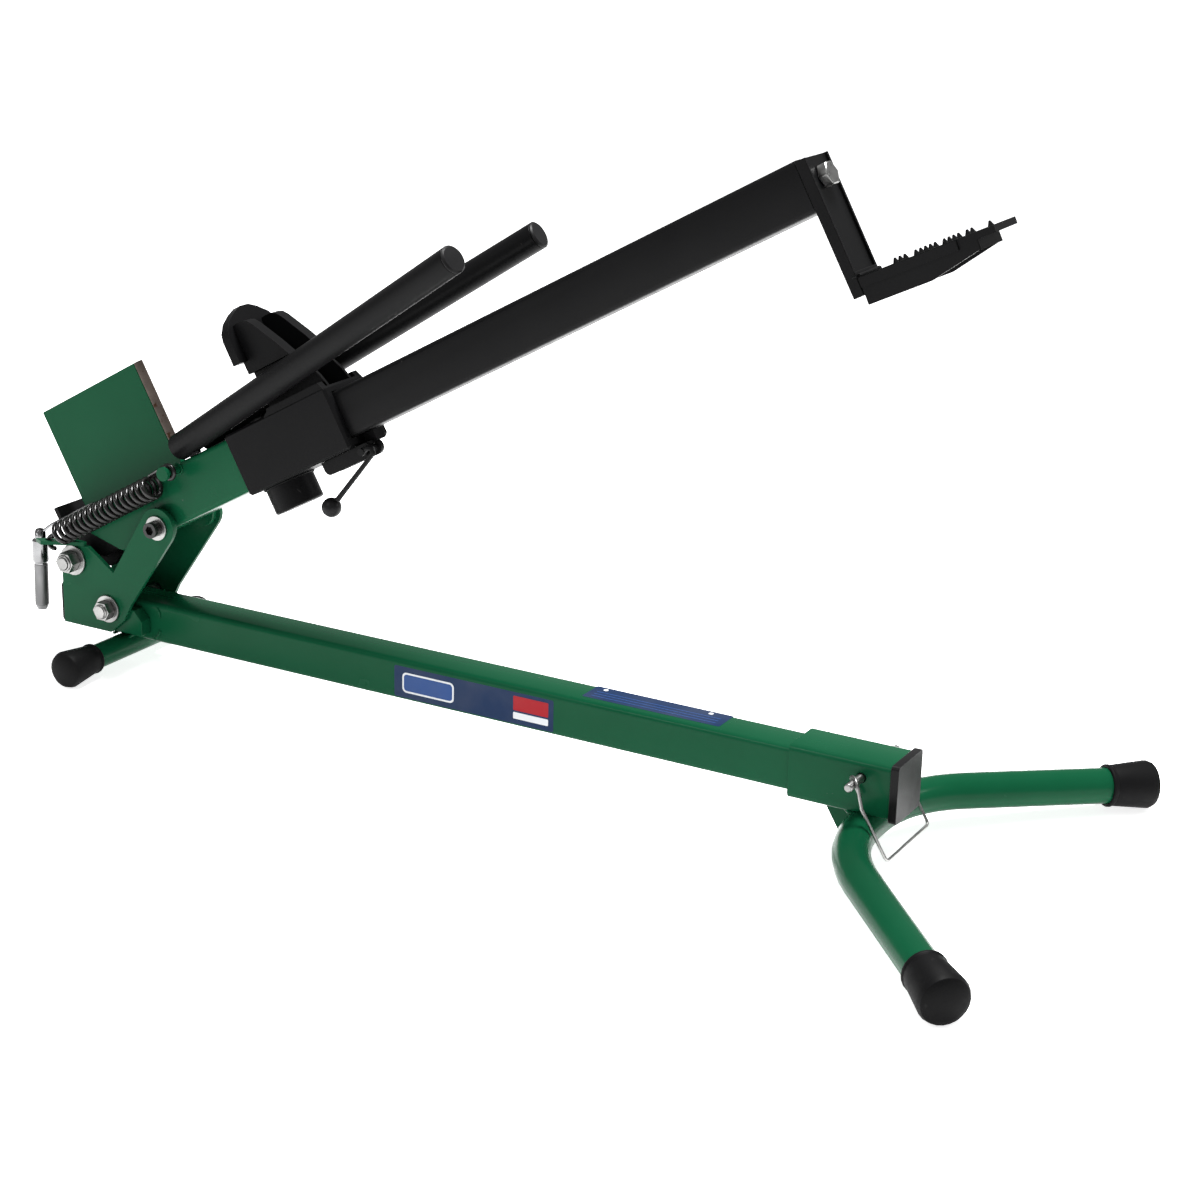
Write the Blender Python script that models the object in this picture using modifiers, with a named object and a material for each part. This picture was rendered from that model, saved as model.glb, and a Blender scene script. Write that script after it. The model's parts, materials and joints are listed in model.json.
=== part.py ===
"""Foot-operated log splitter.

A square base beam stands on a short rear cross tube and a splayed front leg tube.
Two bracket plates at its rear end carry a rocking frame (a square sleeve with the
wedge plate and two cradle bars), through which a long square lever slides. A jaw
clamped on the lever faces the wedge, and a pedal is bolted to the lever's end.

The beam frame has X along the beam towards the front legs, Y across it and Z up
from the beam's axis. The arm frame has X along the lever, Z square to it. All the
driving sizes are in millimetres and are turned into metres by mm().
"""
import math

import bmesh
import bpy
from mathutils import Matrix, Vector

# ---------------------------------------------------------------- driving sizes
GAP = 0.3                     # clearance between touching pieces
BEAM_TILT = 1.447          # the beam rises this much toward the pedal
BEAM_ORIGIN = (-437.8, 0.0, 58.05)

BEAM = 45.0                   # base beam, square
BEAM_WALL = 3.0
BEAM_X = (-128.0, 852.0)
SLEEVE_F = 55.0               # front sleeve, square
SLEEVE_F_X = (765.0, 869.7)

REAR_TUBE_X = -50.0
REAR_TUBE_R = 13.5
REAR_TUBE_Z = -BEAM / 2 - GAP - REAR_TUBE_R
REAR_TUBE_HALF = 115.0
REAR_CAP_R = 20.5
REAR_CAP_LENGTH = 50.0
REAR_CAP_END = 120.0

LEG_R = 18.2
LEG_CENTRE = (841.3, 0.0, -42.5)    # middle of the bent leg tube, seated in the sleeve's saddle
LEG_STRAIGHT = 10.0           # half length of its straight middle
LEG_BEND_R = 166.0
LEG_TURN = 43.8               # degrees each leg turns forward
LEG_DROP = 0.093              # fall of the leg per unit of forward run
LEG_END_Y = 274.0
FOOT_CAP_R = 24.4
FOOT_CAP_LENGTH = 53.0

PLATE_Y = (38.0, 43.0)        # inner and outer face of a bracket plate
PIVOT_A = (23.1, 117.9)       # rocking frame's pivot, beam frame X and Z
PIVOT_B = (-94.8, 61.5)       # link bolt
BOLT_C = (-48.8, 13.4)        # clamp bolt through the plates and the beam

ARM_ORIGIN = (0.0, 0.0, 131.0)
ARM_ANGLE = 29.28             # degrees of the lever above the beam
SLEEVE_A = 60.0               # rocking frame's sleeve, square
SLEEVE_A_X = (-106.0, 150.0)
LEVER = 50.0                  # lever tube, square
LEVER_X = (-125.0, 861.0)
WEDGE_X = (-106.0, 44.3)
WEDGE_Z = (30.3, 148.3)
BLADE_TIP = 54.0
BAR_R = 14.5
BAR_LOW = (71.0, 22.0, 44.9)
BAR_HIGH = (523.7, 78.0, 80.5)
JAW_X = (141.8, 289.0)
JAW_Z = (-35.0, 33.0)
JAW_HALF = 35.0
CHEEK_HALF = 31.0             # jaw's cheeks above the cradle bars
CHEEK_FOOT_HALF = 20.8        # and between the bars

SPRING_X = (-106.0, 38.0)     # arm frame ends of a return spring's coils
SPRING_Y = (55.0, 46.0)       # its distance from the middle plane at each end
SPRING_Z = (16.5, 18.0)
SPRING_R = 11.6               # mean coil radius
SPRING_WIRE = 2.2             # wire radius
SPRING_COILS = 17
HOOK_R = 7.0
TAB_HOLE = (-119.0, 55.0, 81.6)   # hook hole in the spring tab, beam frame
SPRING_PIN = (64.0, 24.5)     # arm frame X and Z of the pin on the sleeve

HANDLE_HEAD = (-160.0, 29.3)  # arm frame X and Z of the hanging handle's hinge
LOCK_PIN = (840.0, 10.5)      # beam frame X and Z of the front lock pin
LOCK_PIN_R = 4.2
LOCK_PIN_HALF = 58.0
BAIL_REACH = 78.0             # pin's axis to the bail's cross wire
BAIL_ANGLE = 31.0             # degrees of the bail forward of straight down
BAIL_WIRE = 1.7


def mm(*values):
    """Millimetres to metres, as a number or a vector."""
    if len(values) == 1:
        return values[0] / 1000.0
    return Vector([v / 1000.0 for v in values])


# ---------------------------------------------------------------- scene and frames
for old in list(bpy.data.objects):
    bpy.data.objects.remove(old, do_unlink=True)

PARTS = bpy.data.collections.new("log_splitter")
CUTTERS = bpy.data.collections.new("cutters")
bpy.context.scene.collection.children.link(PARTS)
bpy.context.scene.collection.children.link(CUTTERS)


def make_empty(name, location, pitch=0.0, parent=None):
    """An empty whose X axis is raised by pitch degrees."""
    empty = bpy.data.objects.new(name, None)
    empty.empty_display_size = 0.05
    empty.location = location
    empty.rotation_euler = (0.0, -math.radians(pitch), 0.0)
    empty.parent = parent
    PARTS.objects.link(empty)
    return empty


BASE = make_empty("base_frame", mm(*BEAM_ORIGIN), BEAM_TILT)
PIVOT = make_empty("pivot_axis", mm(PIVOT_A[0], 0.0, PIVOT_A[1]), 0.0, BASE)
ARM = make_empty("arm_frame", mm(*ARM_ORIGIN) - PIVOT.location, ARM_ANGLE, PIVOT)


def beam_to_arm(x, z):
    """Beam frame X and Z as arm frame X and Z, in millimetres."""
    angle = math.radians(ARM_ANGLE)
    dx = x - ARM_ORIGIN[0]
    dz = z - ARM_ORIGIN[2]
    return (dx * math.cos(angle) + dz * math.sin(angle),
            dz * math.cos(angle) - dx * math.sin(angle))


# ---------------------------------------------------------------- materials
def make_material(name, colour, roughness, metallic):
    material = bpy.data.materials.new(name)
    material.use_nodes = True
    shader = material.node_tree.nodes["Principled BSDF"]
    shader.inputs["Base Color"].default_value = (*colour, 1.0)
    shader.inputs["Roughness"].default_value = roughness
    shader.inputs["Metallic"].default_value = metallic
    material.diffuse_color = (*colour, 1.0)
    return material


GREEN = make_material("green_enamel", (0.014, 0.102, 0.055), 0.35, 0.0)
BLACK = make_material("black_enamel", (0.012, 0.012, 0.013), 0.38, 0.0)
BARE_STEEL = make_material("bare_blade_steel", (0.20, 0.17, 0.15), 0.42, 1.0)
ZINC = make_material("zinc_plated_steel", (0.72, 0.73, 0.74), 0.28, 1.0)
CHROME = make_material("chrome_plated_steel", (0.85, 0.86, 0.88), 0.12, 1.0)
DARK_STEEL = make_material("black_oxide_steel", (0.03, 0.03, 0.032), 0.4, 0.8)
RUBBER = make_material("black_rubber", (0.018, 0.018, 0.019), 0.6, 0.0)
PLASTIC = make_material("black_plastic", (0.016, 0.016, 0.017), 0.5, 0.0)


# ---------------------------------------------------------------- shape helpers
def adopt(obj, name, material, parent, as_cutter=False):
    """Names an object, gives it its material and parent, and files it."""
    obj.name = name
    obj.data.name = name
    for collection in list(obj.users_collection):
        collection.objects.unlink(obj)
    (CUTTERS if as_cutter else PARTS).objects.link(obj)
    obj.parent = parent
    obj.data.materials.clear()
    if as_cutter:
        obj.hide_render = True
        obj.display_type = "WIRE"
    else:
        obj.data.materials.append(material)
    return obj


def smooth(obj, angle=35.0):
    obj.data.shade_smooth()
    obj.data.set_sharp_from_angle(angle=math.radians(angle))
    return obj


def box(name, low, high, material, parent, as_cutter=False):
    """A box between two corners, with its origin at its centre."""
    bpy.ops.mesh.primitive_cube_add(size=1.0)
    obj = bpy.context.active_object
    low = mm(*low)
    high = mm(*high)
    obj.data.transform(Matrix.Diagonal((*(high - low), 1.0)))
    obj.location = (low + high) / 2
    return adopt(obj, name, material, parent, as_cutter)


def rod(name, start, end, radius, sides, material, parent, as_cutter=False):
    """A round bar between two points, with its origin at its middle."""
    start = mm(*start)
    end = mm(*end)
    axis = end - start
    bpy.ops.mesh.primitive_cylinder_add(vertices=sides, radius=mm(radius), depth=axis.length)
    obj = bpy.context.active_object
    obj.location = (start + end) / 2
    obj.rotation_euler = axis.to_track_quat("Z", "X").to_euler()
    adopt(obj, name, material, parent, as_cutter)
    return smooth(obj)


def hexagon(name, start, end, across_flats, material, parent, as_cutter=False):
    """A hexagonal prism between two points."""
    obj = rod(name, start, end, across_flats / math.sqrt(3.0), 6, material, parent, as_cutter)
    return smooth(obj, 20.0)


def curve_to_mesh(curve_object):
    """Turns a curve object into a welded mesh object at the same place."""
    graph = bpy.context.evaluated_depsgraph_get()
    mesh = bpy.data.meshes.new_from_object(curve_object.evaluated_get(graph))
    work = bmesh.new()
    work.from_mesh(mesh)
    bmesh.ops.remove_doubles(work, verts=work.verts, dist=0.00002)
    bmesh.ops.recalc_face_normals(work, faces=work.faces)
    work.to_mesh(mesh)
    work.free()
    obj = bpy.data.objects.new(curve_object.name, mesh)
    obj.matrix_world = curve_object.matrix_world
    bpy.context.scene.collection.objects.link(obj)
    bpy.data.objects.remove(curve_object, do_unlink=True)
    return obj


def flat_outline(name, loops, thickness):
    """A plate in the XY plane from closed outlines, centred on its thickness."""
    data = bpy.data.curves.new(name, "CURVE")
    data.dimensions = "2D"
    data.fill_mode = "BOTH"
    data.extrude = mm(thickness) / 2
    for loop in loops:
        spline = data.splines.new("POLY")
        spline.points.add(len(loop) - 1)
        for point, (x, y) in zip(spline.points, loop):
            point.co = (mm(x), mm(y), 0.0, 1.0)
        spline.use_cyclic_u = True
    obj = bpy.data.objects.new(name, data)
    bpy.context.scene.collection.objects.link(obj)
    return curve_to_mesh(obj)


def plate_xz(name, loops, y_low, y_high, material, parent, as_cutter=False):
    """An XZ outline given thickness along Y."""
    obj = flat_outline(name, loops, y_high - y_low)
    obj.data.transform(Matrix.Rotation(math.radians(90.0), 4, "X"))
    obj.location = mm(0.0, (y_low + y_high) / 2, 0.0)
    adopt(obj, name, material, parent, as_cutter)
    return smooth(obj)


def section_along_x(name, loops, x_low, x_high, material, parent, as_cutter=False):
    """A YZ section (given as Y, Z pairs) run along X."""
    obj = flat_outline(name, loops, x_high - x_low)
    turn = Matrix(((0, 0, 1, 0), (1, 0, 0, 0), (0, 1, 0, 0), (0, 0, 0, 1)))
    obj.data.transform(turn)
    obj.location = mm((x_low + x_high) / 2, 0.0, 0.0)
    adopt(obj, name, material, parent, as_cutter)
    return smooth(obj)


def arc(centre, radius, start, end, steps):
    """Points along an arc, angles in degrees."""
    points = []
    for i in range(steps + 1):
        angle = math.radians(start + (end - start) * i / steps)
        points.append((centre[0] + radius * math.cos(angle), centre[1] + radius * math.sin(angle)))
    return points


def rounded_square(size, radius, steps=3):
    """A square outline with round corners."""
    reach = size / 2 - radius
    points = []
    for i, (sx, sy) in enumerate(((1, 1), (-1, 1), (-1, -1), (1, -1))):
        points += arc((sx * reach, sy * reach), radius, 90.0 * i, 90.0 * (i + 1), steps)
    return points


def square_tube(name, size, wall, radius, x_low, x_high, material, parent):
    loops = [rounded_square(size, radius), rounded_square(size - 2 * wall, max(radius - wall, 1.0), 2)]
    return section_along_x(name, loops, x_low, x_high, material, parent)


def turned(name, profile, steps, material, parent, as_cutter=False):
    """A turned piece about local Z; the (radius, z) loop runs down its outer side."""
    mesh = bpy.data.meshes.new(name)
    points = [mm(r, 0.0, z) for r, z in profile]
    on_axis = profile[0][0] == 0.0 and profile[-1][0] == 0.0
    edges = [(i, i + 1) for i in range(len(points) - 1)]
    if not on_axis:
        edges.append((len(points) - 1, 0))
    mesh.from_pydata(points, edges, [])
    obj = bpy.data.objects.new(name, mesh)
    bpy.context.scene.collection.objects.link(obj)
    screw = obj.modifiers.new("turn", "SCREW")
    screw.axis = "Z"
    screw.steps = steps
    screw.render_steps = steps
    screw.use_merge_vertices = True
    screw.merge_threshold = 0.00005
    screw.use_smooth_shade = True
    return adopt(obj, name, material, parent, as_cutter)


def ring(name, outer, bore, height, material, parent):
    """A flat round ring with its foot at the local origin."""
    profile = [(outer, height), (outer, 0.0), (bore, 0.0), (bore, height)]
    return turned(name, profile, 24, material, parent)


def aim(obj, origin, direction):
    """Puts a turned piece at a point with its Z axis along a direction."""
    obj.location = mm(*origin)
    obj.rotation_euler = Vector(direction).to_track_quat("Z", "X").to_euler()
    return obj


def bar_curve(name, points, radius, resolution):
    """A bent round bar through points, as a curve object with filled ends."""
    data = bpy.data.curves.new(name, "CURVE")
    data.dimensions = "3D"
    data.bevel_depth = mm(radius)
    data.bevel_resolution = resolution
    data.use_fill_caps = True
    spline = data.splines.new("POLY")
    spline.points.add(len(points) - 1)
    for point, place in zip(spline.points, points):
        point.co = (*mm(*place), 1.0)
    spline.use_smooth = True
    obj = bpy.data.objects.new(name, data)
    bpy.context.scene.collection.objects.link(obj)
    return obj


def round_bar_path(name, points, radius, resolution, material, parent):
    return adopt(bar_curve(name, points, radius, resolution), name, material, parent)


def boolean(obj, other, operation="DIFFERENCE"):
    """Cuts or joins one object with a cutter, exactly."""
    modifier = obj.modifiers.new(other.name, "BOOLEAN")
    modifier.operation = operation
    modifier.solver = "EXACT"
    modifier.object = other
    return obj


def drill_y(obj, name, x, z, radius, y_low, y_high, parent, sides=20):
    """Drills a round hole along Y."""
    cutter = rod(name, (x, y_low, z), (x, y_high, z), radius, sides, None, parent, True)
    return boolean(obj, cutter)


def bevel(obj, width, segments=2, angle=40.0):
    modifier = obj.modifiers.new("bevel", "BEVEL")
    modifier.width = mm(width)
    modifier.segments = segments
    modifier.limit_method = "ANGLE"
    modifier.angle_limit = math.radians(angle)
    return obj


def side_name(stem, side):
    """Adds near (towards -Y) or far (towards +Y) to a name."""
    return stem + ("_near" if side < 0 else "_far")


def ordered(a, b):
    return (a, b) if a < b else (b, a)


# ---------------------------------------------------------------- base beam and feet
def build_base_beam():
    beam = square_tube("base_beam", BEAM, BEAM_WALL, 5.0, *BEAM_X, GREEN, BASE)
    drill_y(beam, "cut_beam_clamp_bolt", *BOLT_C, 7.5, -40.0, 40.0, BASE)
    drill_y(beam, "cut_beam_lock_pin", *LOCK_PIN, 5.2, -40.0, 40.0, BASE)


def build_end_plug(name, tube, wall, x_open, outward, flange, stem, overhang=0.0):
    """A square plug: a rounded flange outside the tube and a stem inside it."""
    x_in = x_open + outward * GAP
    x_out = x_in + outward * flange
    x_deep = x_open - outward * stem
    plug = section_along_x(name, [rounded_square(tube + 2 * overhang, 4.0)], *ordered(x_in, x_out),
                           PLASTIC, BASE)
    inner = tube - 2 * wall - 2 * GAP
    stem_name = "join_" + name
    core = section_along_x(stem_name, [rounded_square(inner, 2.0, 2)],
                           *ordered(x_deep, x_in + outward * 0.5), None, BASE, True)
    boolean(plug, core, "UNION")
    return plug


def build_front_sleeve():
    wall = (SLEEVE_F - BEAM) / 2 - GAP
    sleeve = square_tube("front_sleeve", SLEEVE_F, wall, 6.0, *SLEEVE_F_X, GREEN, BASE)
    drill_y(sleeve, "cut_sleeve_lock_pin", *LOCK_PIN, 5.2, -50.0, 50.0, BASE)
    x, _, z = LEG_CENTRE
    saddle = rod("cut_sleeve_saddle", (x, -40.0, z), (x, 40.0, z), LEG_R + GAP, 48, None, BASE, True)
    boolean(sleeve, saddle)
    build_end_plug("front_end_cap", SLEEVE_F, wall, SLEEVE_F_X[1], 1, 8.0, 14.0, 1.8)


def leg_half():
    """One leg's centre line from the middle of the sleeve out to the foot's end."""
    x, _, z = LEG_CENTRE
    plan = [(x, 0.0)]
    steps = 8
    for i in range(steps + 1):
        turn = math.radians(LEG_TURN) * i / steps
        plan.append((x + LEG_BEND_R * (1 - math.cos(turn)), LEG_STRAIGHT + LEG_BEND_R * math.sin(turn)))
    last_x, last_y = plan[-1]
    slope = math.tan(math.radians(LEG_TURN))
    plan.append((last_x + (LEG_END_Y - last_y) * slope, LEG_END_Y))
    return [Vector((px, py, z - LEG_DROP * (px - x))) for px, py in plan]


def foot_cap(name, tube_radius, radius, length, end, direction):
    """A flared rubber ferrule pushed over a tube end."""
    bore = tube_radius + GAP
    lip = tube_radius + 2.8
    profile = [(0.0, length), (radius - 7.0, length), (radius - 1.8, length - 3.0),
               (radius, length - 8.0), (lip - 0.4, 5.0), (lip + 0.6, 3.4), (lip + 0.6, 1.2),
               (lip - 0.4, 0.0), (bore, 0.0), (bore, length - 3.7), (0.0, length - 3.7)]
    cap = turned(name, profile, 24, RUBBER, BASE)
    mouth = Vector(end) - Vector(direction).normalized() * length
    return aim(cap, mouth, direction)


def build_feet():
    half = leg_half()
    outward = (half[-1] - half[-2]).normalized()
    tip = half[-1].copy()
    half[-1] = tip - outward * 4.0
    near = [(p.x, -p.y, p.z) for p in half[1:]]
    far = [tuple(p) for p in half]
    round_bar_path("front_leg_tube", list(reversed(far)) + near, LEG_R, 6, GREEN, BASE)
    for side in (-1, 1):
        foot_cap(side_name("front_foot_cap", side), LEG_R, FOOT_CAP_R, FOOT_CAP_LENGTH,
                 (tip.x, tip.y * side, tip.z), (outward.x, outward.y * side, outward.z))
    rod("rear_cross_tube", (REAR_TUBE_X, -REAR_TUBE_HALF, REAR_TUBE_Z),
        (REAR_TUBE_X, REAR_TUBE_HALF, REAR_TUBE_Z), REAR_TUBE_R, 24, GREEN, BASE)
    for side in (-1, 1):
        foot_cap(side_name("rear_foot_cap", side), REAR_TUBE_R, REAR_CAP_R, REAR_CAP_LENGTH,
                 (REAR_TUBE_X, side * REAR_CAP_END, REAR_TUBE_Z), (0.0, side, 0.0))


def build_gusset():
    top = -SLEEVE_F / 2 - GAP
    outline = [(790.0, top), (834.0, top), (834.0, -62.0), (812.0, -64.0)]
    gusset = plate_xz("front_gusset", [outline], -3.0, 3.0, GREEN, BASE)
    x, _, z = LEG_CENTRE
    clear = rod("cut_gusset_leg", (x, -20.0, z), (x, 20.0, z), LEG_R + GAP + 0.3, 32, None, BASE, True)
    boolean(gusset, clear)


# ---------------------------------------------------------------- bracket plates
def plate_outline():
    """A bracket plate: a leaning arm to pivot A and a short horn round bolt B."""
    ax, az = PIVOT_A
    bx, bz = PIVOT_B
    points = [(-112.6, -13.6), (-46.7, -13.6), (-27.7, 3.0), (-16.9, 23.5)]
    points += arc((ax, az), 21.5, -34.0, 146.0, 12)
    points += [(-40.3, 55.8), (-74.5, bz + 17.8)]
    points += arc((bx, bz), 17.8, 90.0, 180.0, 6)
    return points


def build_brackets():
    for side in (-1, 1):
        y_low, y_high = ordered(side * PLATE_Y[0], side * PLATE_Y[1])
        plate = plate_xz(side_name("side_plate", side), [plate_outline()], y_low, y_high, GREEN, BASE)
        for tag, (x, z), radius in (("a", PIVOT_A, 7.5), ("b", PIVOT_B, 7.5), ("c", BOLT_C, 7.5)):
            drill_y(plate, side_name("cut_plate_" + tag, side), x, z, radius, y_low - 5, y_high + 5, BASE)
        y_low, y_high = ordered(side * (BEAM / 2 + GAP), side * (PLATE_Y[0] - GAP))
        outline = [(-109.0, -12.5), (-8.0, -12.5), (-8.0, 4.0), (-18.0, 15.0), (-109.0, 15.0)]
        spacer = plate_xz(side_name("bracket_spacer", side), [outline], y_low, y_high, GREEN, BASE)
        drill_y(spacer, side_name("cut_spacer_c", side), *BOLT_C, 7.5, y_low - 5, y_high + 5, BASE)


def build_through_bolt(stem, place, washer_radius, washer, nut_flats, nut, head):
    """A bolt along Y with its nut on the near side and washers under both."""
    x, z = place
    face = PLATE_Y[1] + GAP
    for side in (-1, 1):
        disc = ring(side_name(stem + "_washer", side), washer_radius, 7.6, washer, ZINC, BASE)
        aim(disc, (x, side * face, z), (0.0, side, 0.0))
    seat = face + washer + GAP
    tip = seat + nut + 3.0
    shank = rod(stem, (x, -tip, z), (x, seat + 1.0, z), 6.8, 16, ZINC, BASE)
    cap = hexagon("join_" + stem, (x, seat, z), (x, seat + head, z), nut_flats, None, BASE, True)
    boolean(shank, cap, "UNION")
    body = hexagon(stem + "_nut", (x, -seat - nut, z), (x, -seat, z), nut_flats, ZINC, BASE)
    drill_y(body, "cut_" + stem + "_nut", x, z, 7.1, -seat - nut - 5, -seat + 5, BASE)


def build_pivot_bolts():
    """Two short black bolts that screw into the rocking frame's bosses."""
    x, z = PIVOT_A
    for side in (-1, 1):
        disc = ring(side_name("pivot_washer", side), 13.5, 7.6, 2.5, ZINC, BASE)
        aim(disc, (x, side * (PLATE_Y[1] + GAP), z), (0.0, side, 0.0))
        seat = PLATE_Y[1] + 2.5 + 2 * GAP
        bolt = rod(side_name("pivot_bolt", side), (x, side * (SLEEVE_A / 2 + 1.2), z),
                   (x, side * (seat + 0.5), z), 6.8, 16, DARK_STEEL, BASE)
        cap = rod(side_name("join_pivot_head", side), (x, side * seat, z),
                  (x, side * (seat + 10.0), z), 8.6, 20, None, BASE, True)
        boolean(bolt, cap, "UNION")
        key = hexagon(side_name("cut_pivot_key", side), (x, side * (seat + 5.0), z),
                      (x, side * (seat + 14.0), z), 9.0, None, BASE, True)
        boolean(bolt, key)


# ---------------------------------------------------------------- return springs
def hook_arc(centre, radius, start, end, steps, y):
    """Points on an arc in the arm frame's XZ plane, angles in degrees."""
    return [(x, y, z) for x, z in arc(centre, radius, start, end, steps)]


def spring_points(side):
    """The centre line of a tension spring with a hook at each end, in the arm frame."""
    y_low, y_high = (side * y for y in SPRING_Y)
    tab_x, tab_z = beam_to_arm(TAB_HOLE[0] + HOOK_R, TAB_HOLE[2])
    points = hook_arc((tab_x, tab_z), HOOK_R, -75.0 - ARM_ANGLE, -262.0 - ARM_ANGLE, 8, y_low)
    per_coil = 10
    count = SPRING_COILS * per_coil
    low = Vector((SPRING_X[0], y_low, SPRING_Z[0]))
    high = Vector((SPRING_X[1], y_high, SPRING_Z[1]))
    for i in range(count + 1):
        turn = 2 * math.pi * i / per_coil
        centre = low.lerp(high, i / count)
        points.append((centre.x, centre.y + side * SPRING_R * math.sin(turn),
                       centre.z + SPRING_R * math.cos(turn)))
    points += hook_arc(SPRING_PIN, HOOK_R, 105.0, -150.0, 9, y_high)
    return points


def build_springs():
    for side in (-1, 1):
        round_bar_path(side_name("return_spring", side), spring_points(side), SPRING_WIRE, 1,
                       DARK_STEEL, ARM)
        outline = [(-80.0, 38.4), (-102.0, 38.4), (-110.0, 44.0), (-134.0, 59.0), (-122.0, 65.0),
                   (-80.0, 43.0)]
        tab = flat_outline(side_name("spring_tab", side), [[(x, side * y) for x, y in outline]], 4.0)
        tab.location = mm(0.0, 0.0, TAB_HOLE[2])
        adopt(tab, side_name("spring_tab", side), GREEN, BASE)
        x, y, z = TAB_HOLE
        hole = rod(side_name("cut_spring_tab", side), (x, side * y, z - 9.0), (x, side * y, z + 9.0),
                   4.2, 16, None, BASE, True)
        boolean(tab, hole)


# ---------------------------------------------------------------- rocking frame
def build_arm_sleeve():
    sleeve = square_tube("arm_sleeve", SLEEVE_A, 4.3, 5.5, *SLEEVE_A_X, GREEN, ARM)
    low = -SLEEVE_A / 2 - 5.0
    corner = [(-115.0, low), (-86.0 - low, low), (-115.0, 29.0)]
    chamfer = plate_xz("cut_sleeve_corner", [corner], -40.0, 40.0, None, ARM, True)
    boolean(sleeve, chamfer)


def build_wedge():
    outline = [(WEDGE_X[0], WEDGE_Z[0]), (48.7, WEDGE_Z[0]), (48.7, 50.0), (WEDGE_X[1], 51.5),
               (WEDGE_X[1], WEDGE_Z[1]), (WEDGE_X[0], WEDGE_Z[1])]
    plate_xz("wedge_plate", [outline], -4.0, 4.0, GREEN, ARM)
    low = WEDGE_X[1] + GAP
    profile = [(low, -4.0), (low + 3.0, -4.0), (BLADE_TIP, -0.9), (BLADE_TIP, 0.9), (low + 3.0, 4.0),
               (low, 4.0)]
    blade = flat_outline("wedge_blade", [profile], WEDGE_Z[1] - 52.0)
    blade.location = mm(0.0, 0.0, (WEDGE_Z[1] + 52.0) / 2)
    adopt(blade, "wedge_blade", BARE_STEEL, ARM)


def build_bosses_and_pins():
    x, z = beam_to_arm(*PIVOT_A)
    inner = SLEEVE_A / 2 + GAP
    for side in (-1, 1):
        boss = ring(side_name("pivot_boss", side), 17.0, 7.2, PLATE_Y[0] - GAP - inner, GREEN, ARM)
        aim(boss, (x, side * inner, z), (0.0, side, 0.0))
        px, pz = SPRING_PIN
        profile = [(0.0, 27.0), (7.6, 27.0), (7.6, 22.5), (4.3, 22.5), (4.3, 0.0), (0.0, 0.0)]
        pin = turned(side_name("spring_pin", side), profile, 20, GREEN, ARM)
        aim(pin, (px, side * inner, pz), (0.0, side, 0.0))


def build_cradle_bars():
    for side in (-1, 1):
        low = Vector((BAR_LOW[0], side * BAR_LOW[1], BAR_LOW[2]))
        high = Vector((BAR_HIGH[0], side * BAR_HIGH[1], BAR_HIGH[2]))
        direction = (high - low).normalized()
        rod(side_name("cradle_bar", side), low, high, BAR_R, 24, BLACK, ARM)
        start = high + direction * GAP
        profile = [(0.0, 3.0), (BAR_R - 2.0, 3.0), (BAR_R, 1.4), (BAR_R, 0.0), (0.0, 0.0)]
        plug = turned(side_name("cradle_bar_plug", side), profile, 24, PLASTIC, ARM)
        aim(plug, start, direction)


def build_hanging_handle():
    """A thin rod along the sleeve's top edge, and the handle pinned on its end."""
    hx, hz = HANDLE_HEAD
    wire_z = SLEEVE_A / 2 + GAP + 1.8
    points = [(-70.0, -27.8, wire_z), (hx + 20.0, -27.8, wire_z), (hx + 12.0, -29.2, wire_z - 1.2),
              (hx, -30.0, hz)]
    wire = curve_to_mesh(bar_curve("handle_rod", points, 1.7, 2))
    adopt(wire, "handle_rod", CHROME, ARM)
    pin = rod("join_handle_pin", (hx, -35.6, hz), (hx, -24.4, hz), 1.6, 12, None, ARM, True)
    boolean(wire, pin, "UNION")
    hinge = make_empty("handle_axis", mm(hx, -30.0, hz), -(ARM_ANGLE + BEAM_TILT), ARM)
    profile = [(0.0, 6.0), (4.6, 4.6), (6.4, 1.5), (6.6, -5.5), (9.3, -8.0), (9.3, -31.5), (8.6, -32.6),
               (7.4, -33.4), (7.4, -84.0), (5.6, -88.5), (0.0, -90.0)]
    grip = turned("folding_handle", profile, 20, CHROME, hinge)
    boolean(grip, box("cut_handle_slot", (-3.0, -2.2, -4.5), (12.0, 2.2, 9.0), None, hinge, True))
    drill_y(grip, "cut_handle_pin", 0.0, 0.0, 1.9, -12.0, 12.0, hinge, 12)


# ---------------------------------------------------------------- lever, link and pedal
LINK_PIN = (-60.0, -5.0)


def build_lever():
    lever = square_tube("lever_tube", LEVER, 4.0, 5.0, *LEVER_X, BLACK, ARM)
    low = -LEVER / 2 - 5.0
    corner = [(-135.0, low), (-117.0 - low, low), (-135.0, 18.0)]
    boolean(lever, plate_xz("cut_lever_corner", [corner], -40.0, 40.0, None, ARM, True))
    slot = box("cut_lever_slot", (-126.0, -10.5, -30.0), (-36.0, 10.5, -15.0), None, ARM, True)
    boolean(lever, slot)
    drill_y(lever, "cut_lever_link_pin", *LINK_PIN, 6.4, -40.0, 40.0, ARM)
    box("lever_stop_plate", (-131.0, -25.0, -4.0), (LEVER_X[0] - GAP, 25.0, 47.0), BLACK, ARM)
    x, z = LINK_PIN
    rod("link_pin", (x, -24.8, z), (x, 24.8, z), 6.0, 16, ZINC, ARM)


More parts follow.
